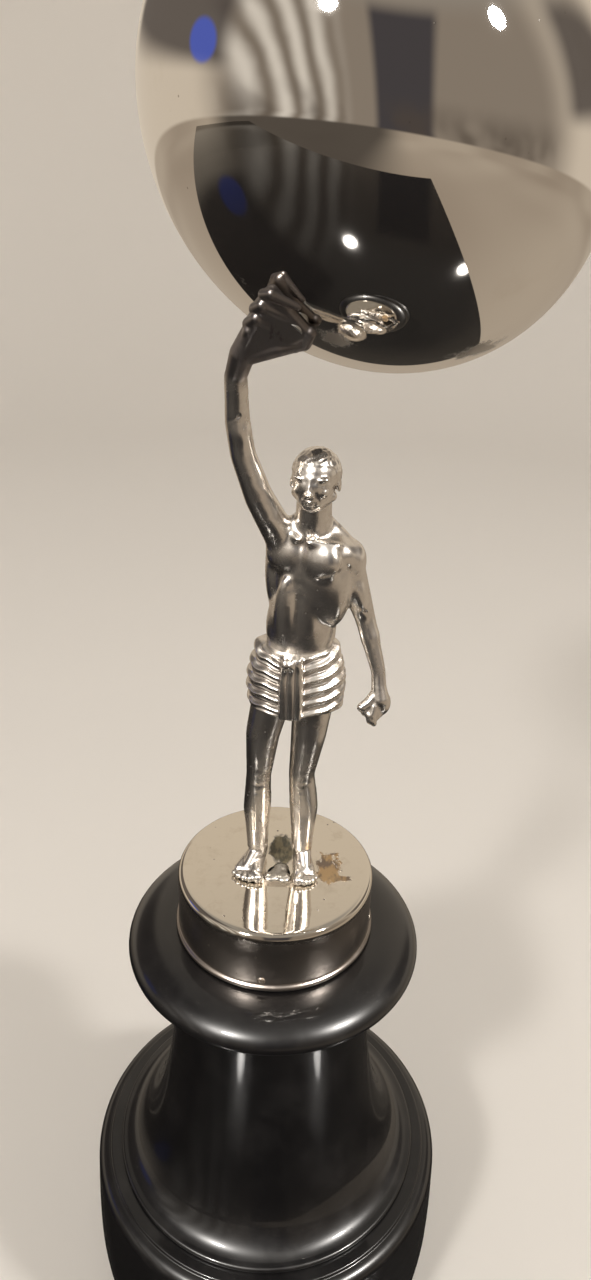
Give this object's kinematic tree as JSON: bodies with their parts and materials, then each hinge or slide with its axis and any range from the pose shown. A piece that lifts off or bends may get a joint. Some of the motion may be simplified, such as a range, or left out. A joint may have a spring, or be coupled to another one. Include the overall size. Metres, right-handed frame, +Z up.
{
  "type": "bowling trophy",
  "caption": "Plated athlete in a wrapped loincloth holding up a large hollow ball, on a spun cap over a turned black wood base.",
  "frame": {"origin": "centre of the resting face, on the axis of the turned base", "axes": "+Z up along the axis of the turned base; the athlete faces -Y and raises the arm on the -X side"},
  "size_m": [0.0826, 0.0874, 0.2794],
  "materials": {
    "felt": "dense wool felt",
    "black_lacquer": "deep gloss black lacquer on turned hardwood, lightly rubbed and dusty",
    "cap_plate": "warm chrome plate with small pits and a corroded patch",
    "figure_plate": "chrome plate over a soft metal casting, tarnished in the hollows",
    "ball_plate": "mirror chrome plate with a few dull spots",
    "solder": "soft solder, wiped and plated over",
    "tack_steel": "plated tack heads, dulled",
    "zinc_steel": "zinc plated steel",
    "bright_brass": "turned brass"
  },
  "bodies": {
    "root": {"felt_pad": "felt", "plinth": "black_lacquer", "bell_column": "black_lacquer", "collar": "black_lacquer", "cap": "cap_plate", "cap_tacks": "tack_steel", "tie_rod": "zinc_steel", "rod_washers": "zinc_steel", "rod_nuts": "zinc_steel", "foot_studs": "bright_brass", "stud_nuts": "bright_brass", "foot_solder": "solder", "right_leg": "figure_plate", "left_leg": "figure_plate", "waist_wrap": "figure_plate", "torso": "figure_plate", "head": "figure_plate", "neck_peg": "bright_brass", "raised_arm": "figure_plate", "lowered_arm": "figure_plate", "shoulder_pegs": "bright_brass", "ball_lower_shell": "ball_plate", "ball_upper_shell": "ball_plate", "ball_seam_ring": "bright_brass", "ball_boss": "bright_brass", "ball_stud": "zinc_steel", "ball_nut": "bright_brass"}
  },
  "joints": []
}
